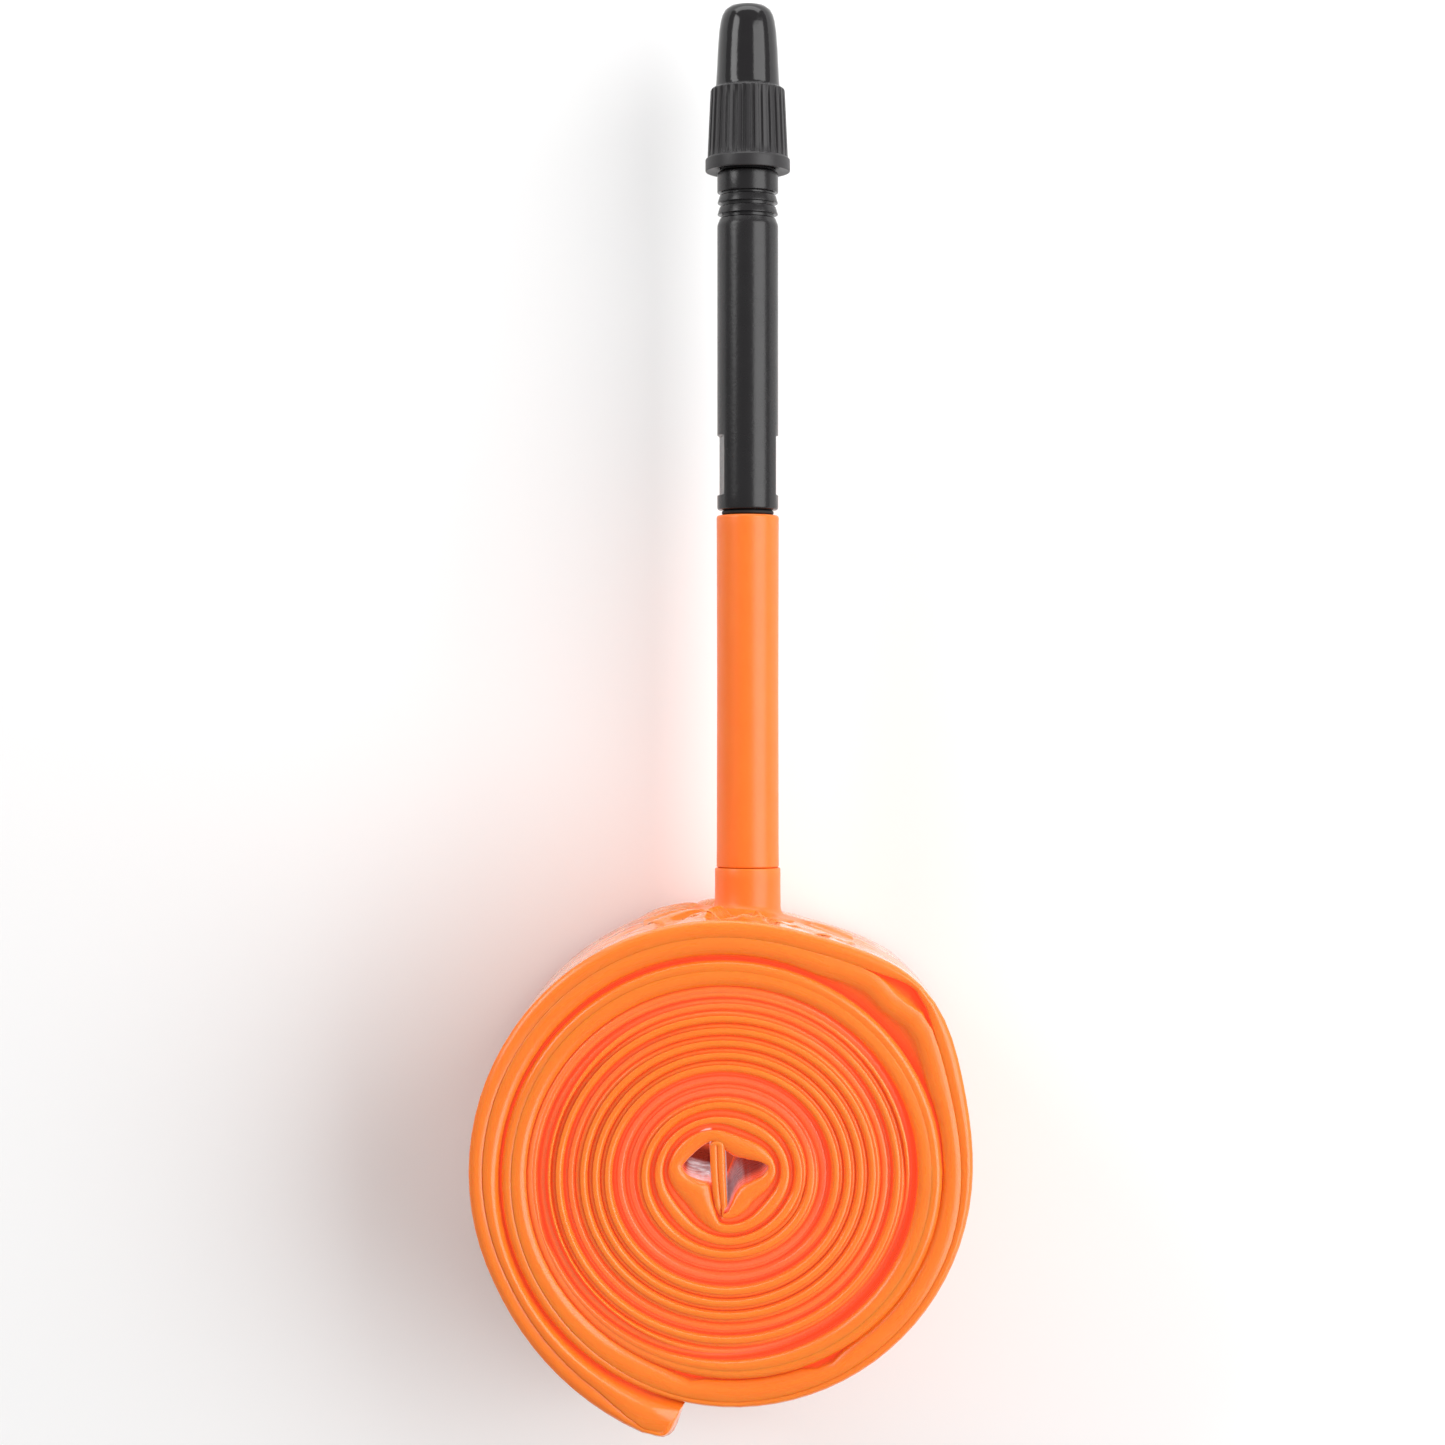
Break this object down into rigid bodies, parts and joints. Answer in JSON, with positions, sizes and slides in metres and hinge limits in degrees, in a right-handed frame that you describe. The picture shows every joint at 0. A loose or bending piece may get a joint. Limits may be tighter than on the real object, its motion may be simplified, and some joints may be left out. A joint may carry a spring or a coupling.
{
  "type": "inner tube",
  "caption": "Flattened bicycle inner tube wound into a roll, with a long smooth stem, a removable Presta valve barrel and a ribbed dust cap.",
  "frame": {"origin": "centre of the roll on its lower flat face, where the part rests", "axes": "+Z is the roll's axis, upwards; +Y is the way the valve points; +X is across the roll"},
  "size_m": [0.0459, 0.1332, 0.028],
  "materials": {
    "tube_film": "glossy translucent film",
    "stem_orange": "smooth satin gloss",
    "seal_rubber": "matt",
    "barrel_black": "satin",
    "core_metal": "nickel-plated",
    "pin_metal": "turned",
    "cap_black": "satin, glossier on its nose"
  },
  "bodies": {
    "tube": {"inner_tube": "tube_film", "valve_patch": "tube_film", "valve_foot": "stem_orange", "valve_stem": "stem_orange"},
    "seal": {"barrel_seal": "seal_rubber"},
    "barrel": {"valve_barrel": "barrel_black", "core_sleeve": "core_metal", "core_gasket": "seal_rubber"},
    "nut": {"lock_nut": "core_metal"},
    "pin": {"valve_pin": "pin_metal", "pin_seal": "seal_rubber"},
    "cap": {"dust_cap": "cap_black"}
  },
  "joints": [
    {"name": "barrel_rise", "type": "slide", "parent": "tube", "child": "seal", "axis": [0, 1, 0], "range_m": [0, 0.0042]},
    {"name": "barrel_turn", "type": "hinge", "parent": "seal", "child": "barrel", "pos_m": [0.0024, 0.061, 0.014], "axis": [0, 1, 0], "range_deg": [0, 2160]},
    {"name": "lock_nut_turn", "type": "hinge", "parent": "barrel", "child": "nut", "pos_m": [0.0024, 0.102, 0.014], "axis": [0, 1, 0], "range_deg": [0, 1800]},
    {"name": "pin_draw", "type": "slide", "parent": "barrel", "child": "pin", "axis": [0, -1, 0], "range_m": [0, 0.0025]},
    {"name": "cap_lift", "type": "slide", "parent": "barrel", "child": "cap", "axis": [0, 1, 0], "range_m": [0, 0.02]}
  ],
  "couplings": [
    {"joint": "barrel_turn", "follows": "barrel_rise", "rad_per_m": 8975.9},
    {"joint": "lock_nut_turn", "follows": "pin_draw", "rad_per_m": 12566}
  ]
}
